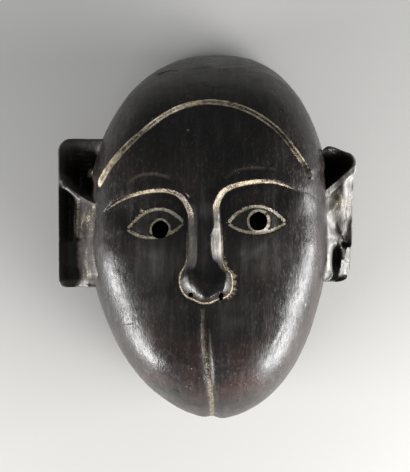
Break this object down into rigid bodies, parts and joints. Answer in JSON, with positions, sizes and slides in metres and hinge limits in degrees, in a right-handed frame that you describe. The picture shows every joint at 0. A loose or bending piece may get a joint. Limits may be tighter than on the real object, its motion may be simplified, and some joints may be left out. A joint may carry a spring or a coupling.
{
  "type": "monkey mask",
  "caption": "Hollow carved dark-wood monkey face mask with a domed cap, arched brows, pierced almond eyes, split muzzle and scooped block ears.",
  "frame": {"origin": "middle of the bounding box, on the plane of the back rim that the mask lies on", "axes": "+Z out of the face, +Y towards the crown, +X to the right of a viewer who looks at the face with the crown up"},
  "size_m": [0.192, 0.243, 0.1037],
  "materials": {
    "dark_wood": "dark hand-polished patina, worn tan along the carved edges"
  },
  "bodies": {
    "root": {"mask": "dark_wood"}
  },
  "joints": []
}
